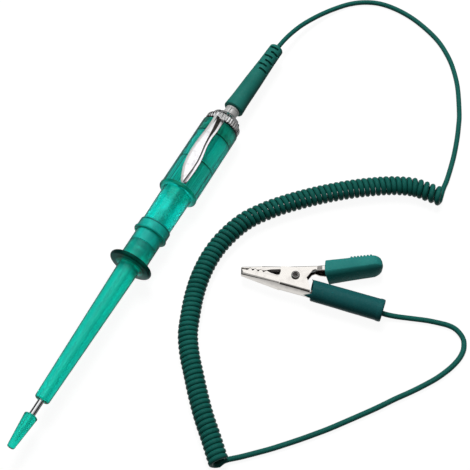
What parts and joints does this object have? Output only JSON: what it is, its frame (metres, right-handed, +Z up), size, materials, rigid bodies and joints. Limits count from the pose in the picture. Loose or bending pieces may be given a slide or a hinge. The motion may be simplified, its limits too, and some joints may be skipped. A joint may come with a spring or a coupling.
{
  "type": "test light",
  "caption": "Pen-shaped circuit test light with a needle probe, a lamp in a clear barrel, a pocket clip and a curly lead that ends in a crocodile clip.",
  "frame": {"origin": "on the floor under the middle of the pen, which is the box of everything but the cord and the crocodile clip", "axes": "+X along the pen from its needle to its strain relief, +Z up; the cord and the crocodile clip lie on the -Y side"},
  "size_m": [0.2072, 0.1126, 0.0155],
  "materials": {
    "clear_green": "glossy translucent green plastic",
    "clear_teal": "glossy clear teal plastic",
    "steel": "bright turned steel",
    "chrome": "polished chrome plate",
    "plated_steel": "bright nickel plate on folded sheet",
    "contact_plate": "nickel-plated pressed sheet",
    "lamp_glass": "clear bulb glass on a metal base",
    "relief_green": "satin moulded flexible plastic",
    "cord_green": "smooth semi-gloss cord jacket",
    "boot_green": "glossy dipped vinyl"
  },
  "bodies": {
    "tester": {"probe_needle": "steel", "probe_sleeve": "clear_green", "front_collar": "clear_green", "lamp_barrel": "clear_teal", "handle": "clear_green", "lamp": "lamp_glass", "lamp_socket": "contact_plate", "contact_strip": "contact_plate", "contact_spring": "steel", "rear_terminal": "contact_plate", "inner_lead": "cord_green", "pocket_clip": "chrome", "end_cap": "chrome", "neck_bush": "steel", "ferrule": "chrome", "strain_relief": "relief_green", "cord_lead": "cord_green", "curly_cord": "cord_green", "clip_lead": "cord_green", "lower_jaw": "plated_steel", "jaw_pin": "plated_steel", "jaw_spring": "steel", "lower_boot": "boot_green"},
    "cap": {"tip_cap": "clear_green"},
    "lever": {"upper_jaw": "plated_steel", "upper_boot": "boot_green"}
  },
  "joints": [
    {"name": "cap_pull", "type": "slide", "parent": "tester", "child": "cap", "axis": [-0.9999, 0, 0.0142], "range_m": [0, 0.02]},
    {"name": "jaw_hinge", "type": "hinge", "parent": "tester", "child": "lever", "pos_m": [0.0072, -0.0474, 0.0037], "axis": [0, 0, -1], "range_deg": [0, 16], "stiffness_Nm_per_rad": 0.04, "springref_deg": -17.19, "deforming": ["jaw_spring", "upper_boot"]}
  ]
}
